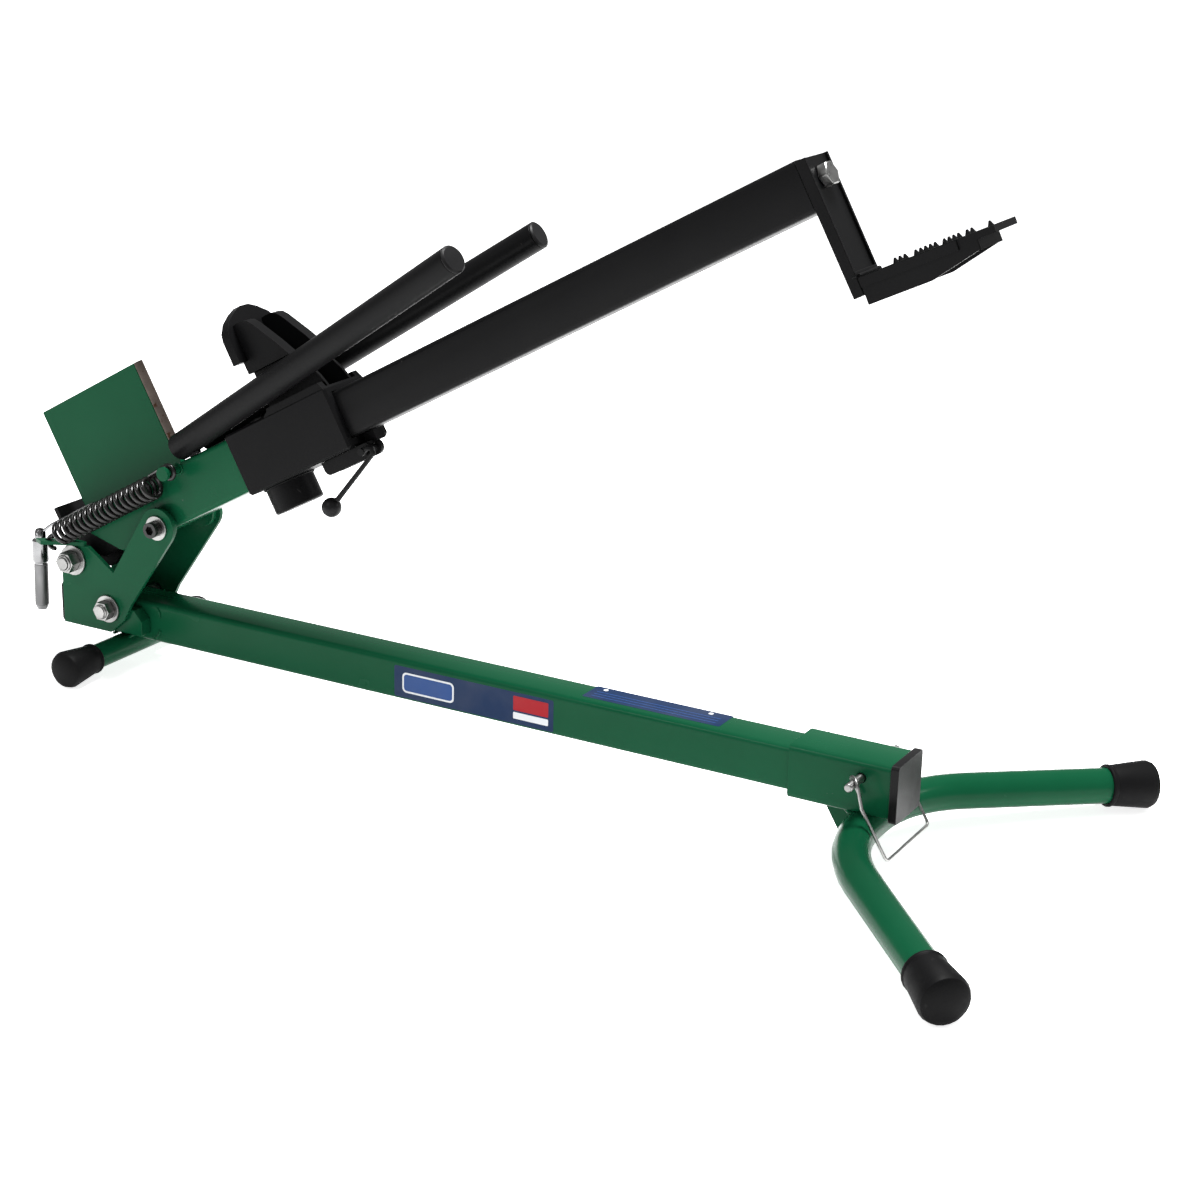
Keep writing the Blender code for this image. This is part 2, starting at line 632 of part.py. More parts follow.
def build_link():
    """A drag link from bolt B to the lever's pin, slotted at the pin end."""
    bx, bz = beam_to_arm(*PIVOT_B)
    px, pz = LINK_PIN
    angle = math.degrees(math.atan2(pz - bz, px - bx))
    axis = make_empty("link_axis", mm(PIVOT_B[0], 0.0, PIVOT_B[1]), ARM_ANGLE + angle, BASE)
    outline = arc((0.0, 0.0), 13.0, 90.0, 200.0, 6)
    outline += [(10.0, -24.0), (50.0, -22.0)]
    outline += arc((63.5, 0.0), 12.5, -75.0, 90.0, 8)
    link = plate_xz("drag_link", [outline], -9.0, 9.0, BLACK, axis)
    drill_y(link, "cut_link_bolt", 0.0, 0.0, 7.3, -20.0, 20.0, axis)
    slot = arc((55.5, 0.0), 6.7, 90.0, 270.0, 8) + arc((63.5, 0.0), 6.7, -90.0, 90.0, 8)
    boolean(link, plate_xz("cut_link_slot", [slot], -20.0, 20.0, None, axis, True))


STRAP_X = (LEVER_X[1] + GAP, 872.4)
STRAP_Z = (-108.0, 23.5)
PEDAL_TOP = -91.4
PEDAL_TILT = -3.1
PEDAL_LENGTH = 137.0
PEDAL_START = 1.6        # keeps the tilted plate's lower edge off the strap
PEDAL_HALF = 26.0
STUD_ROWS = ((34.0, 3), (60.0, 5), (86.0, 4), (104.0, 2), (124.0, 1))   # distance out, count


def build_pedal():
    strap = box("pedal_strap", (STRAP_X[0], -25.0, STRAP_Z[0]), (STRAP_X[1], 25.0, STRAP_Z[1]), BLACK, ARM)
    web = STRAP_X[1] - 2.5
    channel = box("cut_strap_channel", (web, -21.5, -86.0), (web + 9.0, 21.5, 30.0), None, ARM, True)
    boolean(strap, channel)
    pedal = make_empty("pedal_frame", mm(STRAP_X[1] + GAP, 0.0, PEDAL_TOP), PEDAL_TILT, ARM)
    plate = box("pedal_plate", (PEDAL_START, -PEDAL_HALF, -6.5), (PEDAL_LENGTH, PEDAL_HALF, 0.0),
                BLACK, pedal)
    nose = box("join_pedal_nose", (115.0, -PEDAL_HALF + 0.5, -16.0), (119.0, PEDAL_HALF - 0.5, -1.0),
               None, pedal, True)
    boolean(plate, nose, "UNION")
    for side in (-1, 1):
        y_low, y_high = ordered(side * (PEDAL_HALF - 4.0), side * (PEDAL_HALF - 0.1))
        root = PEDAL_START + 0.2
        outline = [(root, -1.0), (root, -26.0), (66.0, -26.0), (118.0, -15.5), (118.0, -1.0)]
        wing = plate_xz(side_name("join_pedal_web", side), [outline], y_low, y_high, None, pedal, True)
        boolean(plate, wing, "UNION")
        y_low, y_high = ordered(side * (PEDAL_HALF - 2.0), side * (PEDAL_HALF + 2.0))
        rail = box(side_name("join_pedal_rail", side), (PEDAL_START + 0.4, y_low, -9.5), (100.0, y_high, -0.6),
                   None, pedal, True)
        boolean(plate, rail, "UNION")
    for reach, count in STUD_ROWS:
        for i in range(count):
            y = (i - (count - 1) / 2) * 11.0
            bpy.ops.mesh.primitive_cone_add(vertices=6, radius1=mm(3.4), radius2=mm(0.9), depth=mm(5.4))
            stud = bpy.context.active_object
            stud.location = mm(reach, y, 1.9)
            adopt(stud, "join_stud_%d_%d" % (reach, i), None, pedal, True)
            boolean(plate, stud, "UNION")
    face = STRAP_X[1] - 2.5
    head = hexagon("pedal_bolt", (face + GAP, 0.0, 3.0), (face + 10.5, 0.0, 3.0), 21.0, ZINC, ARM)
    bevel(head, 1.0, 1, 40.0)


# ---------------------------------------------------------------- sliding jaw
def cheek_outline(low, front):
    """One cheek plate of the jaw seen from the side, above height `low`."""
    back = [(209.0, 129.0), (218.0, 130.0), (226.0, 129.4), (231.5, 127.0), (236.5, 121.5), (254.0, 95.0),
            (264.0, 78.0)]
    if low < 78.0:
        back += [(280.5, 46.0), (286.0, low)]
    return [(front, low), (front, 100.0)] + back


def pad_outline():
    """The round-topped push pad seen along the lever, as Y and Z."""
    half = [(44.4, 91.0), (44.0, 118.0), (41.6, 125.5), (33.0, 135.0), (19.0, 143.0), (7.0, 147.6)]
    return half + [(-y, z) for y, z in reversed(half)]


def build_jaw():
    body = box("jaw_casting", (JAW_X[0], -JAW_HALF, JAW_Z[0]), (JAW_X[1], JAW_HALF, JAW_Z[1]),
               BLACK, ARM)
    bevel(body, 2.5, 1)
    for side in (-1, 1):
        y_low, y_high = ordered(side * 17.4, side * CHEEK_FOOT_HALF)
        boolean(body, plate_xz(side_name("join_cheek_foot", side), [cheek_outline(29.0, 204.0)],
                               y_low, y_high, None, ARM, True), "UNION")
        y_low, y_high = ordered(side * 17.8, side * CHEEK_HALF)
        boolean(body, plate_xz(side_name("join_cheek", side), [cheek_outline(78.0, 205.0)],
                               y_low, y_high, None, ARM, True), "UNION")
        y_low, y_high = ordered(side * (JAW_HALF - 9.0), side * (JAW_HALF - 0.8))
        wall = [(199.0, 29.0), (204.5, 33.6), (208.5, 35.8), (209.8, 38.8), (283.6, 38.8), (288.2, 29.0)]
        boolean(body, plate_xz(side_name("join_jaw_wall", side), [wall], y_low, y_high, None, ARM, True),
                "UNION")
    boolean(body, box("join_jaw_web", (204.6, -18.6, 28.0), (212.4, 18.6, 94.0), None, ARM, True), "UNION")
    boolean(body, section_along_x("join_push_pad", [pad_outline()], 202.0, 211.8, None, ARM, True), "UNION")
    bore = LEVER / 2 + 0.5
    mouth = SLEEVE_A / 2 + 0.6
    for name, half, x_high in (("cut_jaw_bore", bore, JAW_X[1] + 5.0), ("cut_jaw_mouth", mouth, 176.0)):
        boolean(body, box(name, (JAW_X[0] - 5.0, -half, -half), (x_high, half, half), None, ARM, True))
    low = JAW_Z[0] - GAP
    profile = [(0.0, low), (27.0, low), (27.0, low - 27.5), (25.5, low - 29.0), (0.0, low - 29.0)]
    cup = turned("jaw_cup", profile, 32, BLACK, ARM)
    cup.location = mm(171.0, 0.0, 0.0)


LATCH_AXIS = (297.0, -43.0)   # arm frame X and Z of the latch lever's shaft


def build_latch():
    """A lug under the jaw's near side that holds the latch lever's shaft."""
    top = JAW_Z[0] - GAP
    bracket = box("latch_bracket", (238.0, -23.0, top - 3.0), (300.0, 0.0, top), BLACK, ARM)
    block = box("join_latch_block", (JAW_X[1] + 0.4, -8.0, top - 2.0), (304.0, 8.0, -LEVER / 2 - 0.6),
                None, ARM, True)
    boolean(bracket, block, "UNION")
    x, z = LATCH_AXIS
    ear = [(238.0, top - 0.2)] + arc((245.0, -43.5), 7.0, 180.0, 275.0, 5)
    ear += arc((x, z), 8.0, -95.0, 60.0, 7) + [(x + 2.0, top - 0.2)]
    for name, y_low, y_high in (("near", -24.0, -19.0), ("far", -7.0, -2.0)):
        plate = plate_xz("join_latch_ear_" + name, [ear], y_low, y_high, None, ARM, True)
        boolean(bracket, plate, "UNION")
    drill_y(bracket, "cut_latch_shaft", x, z, 4.4, -30.0, 5.0, ARM)
    hinge = make_empty("latch_axis", mm(x, 0.0, z), 0.0, ARM)
    lever = rod("latch_lever", (0.0, -33.0, 0.0), (0.0, 1.0, 0.0), 4.0, 16, BLACK, hinge)
    knee = Vector((13.0, -30.0, -1.0))
    reach = Vector((-54.0, -30.0, -33.0))
    arm_rod = curve_to_mesh(bar_curve("join_latch_rod", [(0.0, -29.0, 0.0), (8.0, -30.0, 1.5), tuple(knee),
                                                         (12.0, -30.0, -6.0), tuple(reach)], 3.0, 2))
    adopt(arm_rod, "join_latch_rod", None, hinge, True)
    boolean(lever, arm_rod, "UNION")
    bpy.ops.mesh.primitive_uv_sphere_add(segments=20, ring_count=12, radius=mm(10.4))
    knob = bpy.context.active_object
    direction = (reach - Vector((12.0, -30.0, -6.0))).normalized()
    knob.location = mm(*(reach + direction * 12.0))
    adopt(knob, "latch_knob", PLASTIC, hinge)
    smooth(knob)
    socket = rod("cut_knob_socket", reach - direction * 4.0, reach + direction * GAP, 3.0 + GAP, 16,
                 None, hinge, True)
    boolean(knob, socket)


# ---------------------------------------------------------------- front lock pin
def bail_side():
    """One side of the wire bail: an eye wound once round the pin, then a leg down."""
    eye = LOCK_PIN_R + GAP + BAIL_WIRE
    points = [(-eye - 0.3, 32.6, -16.0), (-eye, 32.6, -2.0)]
    turns = 10
    for i in range(turns + 1):
        angle = math.pi - math.pi * i / turns
        points.append((eye * math.cos(angle), 32.6 + 18.0 * i / turns, eye * math.sin(angle)))
    points += [(eye - 0.4, 51.2, -5.0), (0.0, 51.0, -24.0), (0.0, 50.6, -BAIL_REACH + 4.0),
               (0.0, 49.4, -BAIL_REACH + 1.2), (0.0, 46.6, -BAIL_REACH)]
    return points


def build_lock_pin():
    x, z = LOCK_PIN
    pin = rod("lock_pin", (x, -LOCK_PIN_HALF, z), (x, LOCK_PIN_HALF, z), LOCK_PIN_R, 20, ZINC, BASE)
    bevel(pin, 1.4, 2, 60.0)
    hinge = make_empty("bail_axis", mm(x, 0.0, z), BAIL_ANGLE, BASE)
    half = bail_side()
    points = half + [(px, -py, pz) for px, py, pz in reversed(half)]
    round_bar_path("lock_pin_bail", points, BAIL_WIRE, 2, ZINC, hinge)


# ---------------------------------------------------------------- assembly
build_base_beam()
build_end_plug("rear_end_plug", BEAM, BEAM_WALL, BEAM_X[0], -1, 5.4, 16.0)
build_front_sleeve()
build_feet()
build_gusset()
build_brackets()
build_through_bolt("clamp_bolt", BOLT_C, 15.4, 2.5, 19.0, 10.0, 8.0)
build_through_bolt("link_bolt", PIVOT_B, 17.0, 3.0, 21.0, 13.0, 8.5)
build_pivot_bolts()
build_springs()
build_arm_sleeve()
build_wedge()
build_bosses_and_pins()
build_cradle_bars()
build_hanging_handle()
build_lever()
build_link()
build_pedal()
build_jaw()
build_latch()
build_lock_pin()
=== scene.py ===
"""The looks of a foot-operated log splitter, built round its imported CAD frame.

Sizes are in millimetres in frames that the CAD uses too: BEAM runs along the base beam, ARM along the ram
lever, and PEDAL and HANDLE are set out from ARM. place() turns their points into the row frame's metres.
"""
import json
import math
import random

import bmesh
import bpy
from mathutils import Matrix, Vector


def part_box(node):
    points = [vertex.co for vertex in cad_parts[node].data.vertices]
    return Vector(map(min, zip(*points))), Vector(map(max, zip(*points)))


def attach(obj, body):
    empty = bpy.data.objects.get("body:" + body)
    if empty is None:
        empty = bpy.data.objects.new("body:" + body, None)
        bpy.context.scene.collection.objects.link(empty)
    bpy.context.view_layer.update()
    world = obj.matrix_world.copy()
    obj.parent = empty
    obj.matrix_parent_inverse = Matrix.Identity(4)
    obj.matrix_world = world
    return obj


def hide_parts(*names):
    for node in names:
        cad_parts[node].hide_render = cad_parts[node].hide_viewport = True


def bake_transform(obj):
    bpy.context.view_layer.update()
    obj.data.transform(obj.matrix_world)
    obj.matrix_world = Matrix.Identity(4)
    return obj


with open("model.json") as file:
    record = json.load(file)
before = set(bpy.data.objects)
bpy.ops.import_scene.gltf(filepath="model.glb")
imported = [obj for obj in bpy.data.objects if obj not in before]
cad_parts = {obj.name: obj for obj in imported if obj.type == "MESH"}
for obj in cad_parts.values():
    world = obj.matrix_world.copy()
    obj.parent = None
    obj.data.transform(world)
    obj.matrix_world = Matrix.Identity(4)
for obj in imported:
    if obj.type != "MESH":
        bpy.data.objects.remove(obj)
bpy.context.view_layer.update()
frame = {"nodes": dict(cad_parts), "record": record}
random.seed(11)

# ---------------------------------------------------------------- frames
MM = 0.001                    # in metres
BEAM_ORIGIN = (-437.8, 0.0, 58.05)
BEAM_TILT = 1.447
ARM_HEIGHT = 131.0
ARM_ANGLE = 29.28
PEDAL_AT = (872.7, 0.0, -91.4)
PEDAL_TILT = -3.1
HANDLE_AT = (-160.0, -30.0, 29.3)


def pitched(origin, degrees):
    """A frame at origin whose X axis is raised by that many degrees."""
    return Matrix.Translation(origin) @ Matrix.Rotation(-math.radians(degrees), 4, "Y")


BEAM = pitched(BEAM_ORIGIN, BEAM_TILT)
ARM = BEAM @ pitched((0.0, 0.0, ARM_HEIGHT), ARM_ANGLE)
PEDAL = ARM @ pitched(PEDAL_AT, PEDAL_TILT)
HANDLE = ARM @ pitched(HANDLE_AT, -(ARM_ANGLE + BEAM_TILT))


def place(matrix, point):
    """A point given in millimetres in a frame, as metres in the row frame."""
    return (matrix @ Vector(point)) * MM


# ---------------------------------------------------------------- materials
def new_material(name):
    """A material with its node tree, shader and object coordinates."""
    material = bpy.data.materials.new(name)
    material.use_nodes = True
    tree = material.node_tree
    coords = tree.nodes.new("ShaderNodeTexCoord")
    return material, tree, tree.nodes["Principled BSDF"], coords.outputs["Object"]


def noise(tree, coords, scale, detail=4.0, distortion=0.0):
    """The value of a noise texture."""
    node = tree.nodes.new("ShaderNodeTexNoise")
    node.inputs["Scale"].default_value = scale
    node.inputs["Detail"].default_value = detail
    node.inputs["Distortion"].default_value = distortion
    tree.links.new(coords, node.inputs["Vector"])
    return node.outputs["Fac"]


def ramp(tree, value, low, high, colour_low, colour_high):
    """Two colours across a range of a value."""
    node = tree.nodes.new("ShaderNodeValToRGB")
    node.color_ramp.elements[0].position = low
    node.color_ramp.elements[1].position = high
    node.color_ramp.elements[0].color = (*colour_low, 1.0)
    node.color_ramp.elements[1].color = (*colour_high, 1.0)
    tree.links.new(value, node.inputs["Fac"])
    return node.outputs["Color"]


def grey(tree, value, low, high, dark, light):
    """A ramp between two grey levels, for roughness, masks and heights."""
    return ramp(tree, value, low, high, (dark,) * 3, (light,) * 3)


def mix(tree, mask, first, second, kind="MIX"):
    """First where the mask is 0, second where it is 1."""
    node = tree.nodes.new("ShaderNodeMixRGB")
    node.blend_type = kind
    for socket, source in (("Fac", mask), ("Color1", first), ("Color2", second)):
        if isinstance(source, bpy.types.NodeSocket):
            tree.links.new(source, node.inputs[socket])
        elif socket == "Fac":
            node.inputs[socket].default_value = source
        else:
            node.inputs[socket].default_value = (*source, 1.0)
    return node.outputs["Color"]


def bump(tree, shader, heights):
    """Adds bumps one on another; heights holds (value, strength, distance in metres)."""
    normal = None
    for value, strength, distance in heights:
        node = tree.nodes.new("ShaderNodeBump")
        node.inputs["Strength"].default_value = strength
        node.inputs["Distance"].default_value = distance
        tree.links.new(value, node.inputs["Height"])
        if normal is not None:
            tree.links.new(normal, node.inputs["Normal"])
        normal = node.outputs["Normal"]
    tree.links.new(normal, shader.inputs["Normal"])


FLAT_POINTINESS = 0.52        # where a raised edge starts to show wear
EDGE_POINTINESS = 0.58        # where it is fully worn


def worn_edges(tree):
    """A mask that is 1 on raised edges; it spreads inwards over a face without inner vertices."""
    geometry = tree.nodes.new("ShaderNodeNewGeometry")
    return grey(tree, geometry.outputs["Pointiness"], FLAT_POINTINESS, EDGE_POINTINESS, 0.0, 1.0)


# Noise scales are in features per metre, bump depths in metres.
DRIFT_SCALE = 5.0
CHIP_SCALE = 90.0
CHIP_BLUR = 0.03
SCUFF_SCALE = 14.0
SCUFF_SPAN = 0.10
PEEL_SCALE = 420.0
PEEL_DEPTH = 0.0002
WAVE_SCALE = 60.0
WAVE_STRENGTH = 0.03
WAVE_DEPTH = 0.0006
COAT_ROUGHNESS = 0.15


def paint(name, dark, light, rough, chip_colour, shine, coat, peel=0.06, chips=0.76):
    """Sprayed paint: slight colour drift, orange peel, scuffs, and sparse chips where edges are worn."""
    material, tree, shader, coords = new_material(name)
    drift = ramp(tree, noise(tree, coords, DRIFT_SCALE, detail=3.0), 0.35, 0.68, dark, light)
    speckle = noise(tree, coords, CHIP_SCALE, detail=6.0, distortion=0.6)
    specks = grey(tree, speckle, chips, chips + CHIP_BLUR, 0.0, 1.0)
    chipped = mix(tree, 1.0, specks, worn_edges(tree), "MULTIPLY")
    tree.links.new(mix(tree, chipped, drift, chip_colour), shader.inputs["Base Color"])
    scuff = noise(tree, coords, SCUFF_SCALE, detail=8.0, distortion=1.2)
    scuffed = grey(tree, scuff, 0.35, 0.8, rough, rough + SCUFF_SPAN)
    tree.links.new(scuffed, shader.inputs["Roughness"])
    shader.inputs["Specular IOR Level"].default_value = shine
    shader.inputs["Coat Weight"].default_value = coat
    shader.inputs["Coat Roughness"].default_value = COAT_ROUGHNESS
    fine = noise(tree, coords, PEEL_SCALE, detail=2.0)
    wavy = noise(tree, coords, WAVE_SCALE, detail=3.0)
    bump(tree, shader, ((fine, peel, PEEL_DEPTH), (wavy, WAVE_STRENGTH, WAVE_DEPTH)))
    return material


SHADE_SCALE = 30.0
SPOT_SCALE = 120.0
SPOT_BLUR = 0.08
SMEAR_SCALE = 45.0
SMEAR_SPAN = 0.18
GRAIN_DEPTH = 0.0002


def metal(name, dark, light, rough, grain=240.0, tarnish=(0.30, 0.27, 0.22), spots=0.7, depth=0.12):
    """Plated or bare steel: brushed variation, dull spots and fine scratches."""
    material, tree, shader, coords = new_material(name)
    shader.inputs["Metallic"].default_value = 1.0
    shade = ramp(tree, noise(tree, coords, SHADE_SCALE, detail=5.0, distortion=0.4), 0.3, 0.7, dark, light)
    spot = grey(tree, noise(tree, coords, SPOT_SCALE, detail=6.0), spots, spots + SPOT_BLUR, 0.0, 1.0)
    tree.links.new(mix(tree, spot, shade, tarnish), shader.inputs["Base Color"])
    smear = noise(tree, coords, SMEAR_SCALE, detail=6.0, distortion=1.5)
    tree.links.new(grey(tree, smear, 0.3, 0.7, rough, rough + SMEAR_SPAN), shader.inputs["Roughness"])
    bump(tree, shader, ((noise(tree, coords, grain, detail=4.0), depth, GRAIN_DEPTH),))
    return material


MOTTLE_SCALE = 12.0
DUST_SCALE = 70.0
DUST_COLOUR = (0.03, 0.03, 0.029)
DUST_MOST = 0.35              # how much of the dust colour shows where it is thickest
TOUCH_SCALE = 25.0
MOULD_DEPTH = 0.0003


def moulding(name, dark, light, rough, grain, depth, shine):
    """Black rubber or plastic with a moulded grain and a little dust."""
    material, tree, shader, coords = new_material(name)
    shader.inputs["Specular IOR Level"].default_value = shine
    shade = ramp(tree, noise(tree, coords, MOTTLE_SCALE, detail=5.0), 0.3, 0.7, dark, light)
    specks = noise(tree, coords, DUST_SCALE, detail=8.0, distortion=0.8)
    dust = grey(tree, specks, 0.66, 0.78, 0.0, DUST_MOST)
    tree.links.new(mix(tree, dust, shade, DUST_COLOUR), shader.inputs["Base Color"])
    touch = noise(tree, coords, TOUCH_SCALE, detail=5.0, distortion=0.6)
    tree.links.new(grey(tree, touch, 0.3, 0.7, rough - 0.06, rough + 0.1), shader.inputs["Roughness"])
    bump(tree, shader, ((noise(tree, coords, grain, detail=3.0), depth, MOULD_DEPTH),))
    return material


FILM_ROUGHNESS = 0.28
FILM_SHINE = 0.12
FADE_SCALE = 22.0
RUB_SCALE = 40.0
RUB_SPAN = 0.14
RIPPLE_SCALE = 90.0
RIPPLE_STRENGTH = 0.05
RIPPLE_DEPTH = 0.0003


def film(name, colour):
    """The printed film of a sticker."""
    material, tree, shader, coords = new_material(name)
    faded = tuple(0.85 * c + 0.02 for c in colour)
    shade = ramp(tree, noise(tree, coords, FADE_SCALE, detail=4.0), 0.35, 0.75, colour, faded)
    tree.links.new(shade, shader.inputs["Base Color"])
    shader.inputs["Specular IOR Level"].default_value = FILM_SHINE
    rub = noise(tree, coords, RUB_SCALE, detail=5.0)
    rubbed = grey(tree, rub, 0.35, 0.7, FILM_ROUGHNESS, FILM_ROUGHNESS + RUB_SPAN)
    tree.links.new(rubbed, shader.inputs["Roughness"])
    ripple = noise(tree, coords, RIPPLE_SCALE, detail=2.0)
    bump(tree, shader, ((ripple, RIPPLE_STRENGTH, RIPPLE_DEPTH),))
    return material


GREEN = paint("green_enamel", (0.0028, 0.056, 0.0230), (0.0045, 0.066, 0.0285), 0.20, (0.10, 0.11, 0.10),
              shine=0.06, coat=0.02, peel=0.03)
BLACK = paint("black_enamel", (0.0035, 0.0035, 0.0038), (0.006, 0.006, 0.0063), 0.36, (0.07, 0.067, 0.064),
              shine=0.07, coat=0.0, peel=0.10, chips=0.73)
BLACK_GLOSS = paint("black_spring_wire", (0.004, 0.004, 0.0043), (0.008, 0.0076, 0.0072), 0.16,
                    (0.10, 0.09, 0.08), shine=0.32, coat=0.05)
CAST = paint("black_cast_iron", (0.003, 0.003, 0.0033), (0.0055, 0.0055, 0.0058), 0.40,
             (0.05, 0.048, 0.046), shine=0.06, coat=0.0, peel=0.30, chips=0.74)
ZINC = metal("zinc_plated_steel", (0.22, 0.22, 0.216), (0.37, 0.37, 0.362), 0.24,
             tarnish=(0.16, 0.145, 0.12))
CHROME = metal("chrome_plated_steel", (0.17, 0.17, 0.173), (0.28, 0.28, 0.285), 0.12,
               grain=300.0, tarnish=(0.13, 0.125, 0.115), spots=0.74, depth=0.05)
GRIP = metal("knurled_grip_steel", (0.13, 0.13, 0.132), (0.21, 0.21, 0.213), 0.30)
BLADE = metal("blade_steel", (0.045, 0.036, 0.031), (0.11, 0.09, 0.078), 0.42,
              grain=160.0, tarnish=(0.04, 0.02, 0.012), spots=0.6, depth=0.3)
RUBBER = moulding("black_rubber", (0.0028, 0.0028, 0.0030), (0.0050, 0.0050, 0.0053), 0.52,
                  grain=260.0, depth=0.2, shine=0.06)
PLASTIC = moulding("black_plastic", (0.005, 0.005, 0.0053), (0.009, 0.009, 0.0095), 0.36,
                   grain=520.0, depth=0.2, shine=0.13)
NAVY = film("sticker_navy", (0.003, 0.018, 0.062))
PALE = film("sticker_pale", (0.62, 0.64, 0.66))
RED = film("sticker_red", (0.30, 0.006, 0.012))
BLUE = film("sticker_blue", (0.02, 0.06, 0.20))

# ---------------------------------------------------------------- CAD nodes
FINISHES = {
    "green_enamel": GREEN,
    "black_enamel": BLACK,
    "black_oxide_steel": BLACK_GLOSS,
    "zinc_plated_steel": ZINC,
    "chrome_plated_steel": CHROME,
    "bare_blade_steel": BLADE,
    "black_rubber": RUBBER,
    "black_plastic": PLASTIC,
}
CASTINGS = ("jaw_casting", "jaw_cup", "latch_bracket")
EDGE_WIDTH = 0.0007            # radius that a plain edge gets
SMALL_EDGE_WIDTH = 0.0004
SMALL_NODE = 0.04              # a node smaller than this gets the small edge
WELD_DISTANCE = 0.00001        # split corners closer than this are joined
FLAT_ANGLE = 0.4               # degrees; faces closer than this become one
SHARP_ANGLE = 34.0             # degrees; edges sharper than this are rounded


def refine(node, width):
    """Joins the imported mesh's split corners and rounds its sharp edges."""
    bpy.ops.object.select_all(action="DESELECT")
    node.select_set(True)
    bpy.context.view_layer.objects.active = node
    bpy.ops.mesh.customdata_custom_splitnormals_clear()
    for polygon in node.data.polygons:
        polygon.use_smooth = True
    weld = node.modifiers.new("weld", "WELD")
    weld.merge_threshold = WELD_DISTANCE
    flat = node.modifiers.new("flat", "DECIMATE")
    flat.decimate_type = "DISSOLVE"
    flat.angle_limit = math.radians(FLAT_ANGLE)
    edge = node.modifiers.new("edge", "BEVEL")
    edge.width = width
    edge.segments = 2
    edge.limit_method = "ANGLE"
    edge.angle_limit = math.radians(SHARP_ANGLE)
    edge.harden_normals = True


def dress_nodes():
    """Gives every CAD node its finish and its rounded edges."""
    slots = {part["node"]: part["material_slot"] for part in frame["record"]["subparts"]}
    for name, node in frame["nodes"].items():
        node.data.materials.clear()
        node.data.materials.append(CAST if name in CASTINGS else FINISHES[slots[name]])
        low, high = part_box(name)
        refine(node, SMALL_EDGE_WIDTH if max(high - low) < SMALL_NODE else EDGE_WIDTH)


# ---------------------------------------------------------------- piece helpers
def mesh_piece(name, mesh, material, body):
    """A mesh as a piece that rides on a body."""
    mesh.name = name
    mesh.materials.clear()
    mesh.materials.append(material)
    for polygon in mesh.polygons:
        polygon.use_smooth = True
    piece = bpy.data.objects.new(name, mesh)
    bpy.context.scene.collection.objects.link(piece)
    if body is not None:
        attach(piece, body)
    return piece


def curve_mesh(points, radius, resolution, radii=None, cyclic=False):
    """A round wire along points in metres, as a mesh."""
    curve = bpy.data.curves.new("wire", "CURVE")
    curve.dimensions = "3D"
    curve.bevel_depth = radius
    curve.bevel_resolution = resolution
    curve.use_fill_caps = True
    spline = curve.splines.new("POLY")
    spline.points.add(len(points) - 1)
    for i, (item, point) in enumerate(zip(spline.points, points)):
        item.co = (*point, 1.0)
        item.radius = 1.0 if radii is None else radii[i]
    spline.use_cyclic_u = cyclic
    holder = bpy.data.objects.new("wire", curve)
    bpy.context.scene.collection.objects.link(holder)
    bpy.context.view_layer.update()
    mesh = bpy.data.meshes.new_from_object(holder.evaluated_get(bpy.context.evaluated_depsgraph_get()))
    bpy.data.objects.remove(holder)
    bpy.data.curves.remove(curve)
    return mesh


def arc(centre, radius, start, end, steps):
    """Points of an arc in a plane, angles in degrees."""
    angles = [math.radians(start + (end - start) * i / steps) for i in range(steps + 1)]
    return [(centre[0] + radius * math.cos(a), centre[1] + radius * math.sin(a)) for a in angles]


def round_point(matrix, radius, turn, height):
    """A point at a radius and a turn about a frame's Z axis, as metres in the row frame."""
    return place(matrix, (radius * math.cos(turn), radius * math.sin(turn), height))


TURNED_STEPS = 48             # faces round a turned piece


def turned_mesh(matrix, profile):
    """A closed loop of (radius, height) points turned about a frame's Z axis."""
    bm = bmesh.new()
    rows = []
    for radius, height in profile:
        row = []
        for i in range(TURNED_STEPS):
            turn = 2 * math.pi * i / TURNED_STEPS
            row.append(bm.verts.new(round_point(matrix, radius, turn, height)))
        rows.append(row)
    for upper, lower in zip(rows, rows[1:] + rows[:1]):
        for i in range(TURNED_STEPS):
            j = (i + 1) % TURNED_STEPS
            bm.faces.new((upper[i], upper[j], lower[j], lower[i]))
    bmesh.ops.recalc_face_normals(bm, faces=bm.faces)
    mesh = bpy.data.meshes.new("turned")
    bm.to_mesh(mesh)
    bm.free()
    return mesh


# ---------------------------------------------------------------- weld beads
WELD_STEP = 2.4               # mm between ripples
WELD_CREST = 1.12             # radius of a ripple's crest and trough, as a share of the bead's
WELD_TROUGH = 0.86
WELD_UNEVEN = 0.08            # most that chance adds to that share or takes from it


def weld_bead(name, matrix, corners, radius, body, material, slot_name, cyclic=False):
    """A rippled weld bead through corners in millimetres of a frame."""
    points = []
    ends = list(zip(corners, corners[1:] + corners[:1])) if cyclic else list(zip(corners, corners[1:]))
    for start, end in ends:
        start, end = Vector(start), Vector(end)
        count = max(1, round((end - start).length / (WELD_STEP / 2)))
        points += [start.lerp(end, i / count) for i in range(count)]
    if not cyclic:
        points.append(Vector(corners[-1]))
    radii = [(WELD_CREST if i % 2 else WELD_TROUGH) + random.uniform(-WELD_UNEVEN, WELD_UNEVEN)
             for i in range(len(points))]
    points = [place(matrix, p) for p in points]
    mesh = curve_mesh(points, radius * MM, 2, radii, cyclic)
    return mesh_piece(name, mesh, material, body)


def ring_xz(x, z, radius, y, steps):
    """A circle about the Y axis."""
    return [(px, y, pz) for px, pz in arc((x, z), radius, 0.0, 360.0 - 360.0 / steps, steps - 1)]


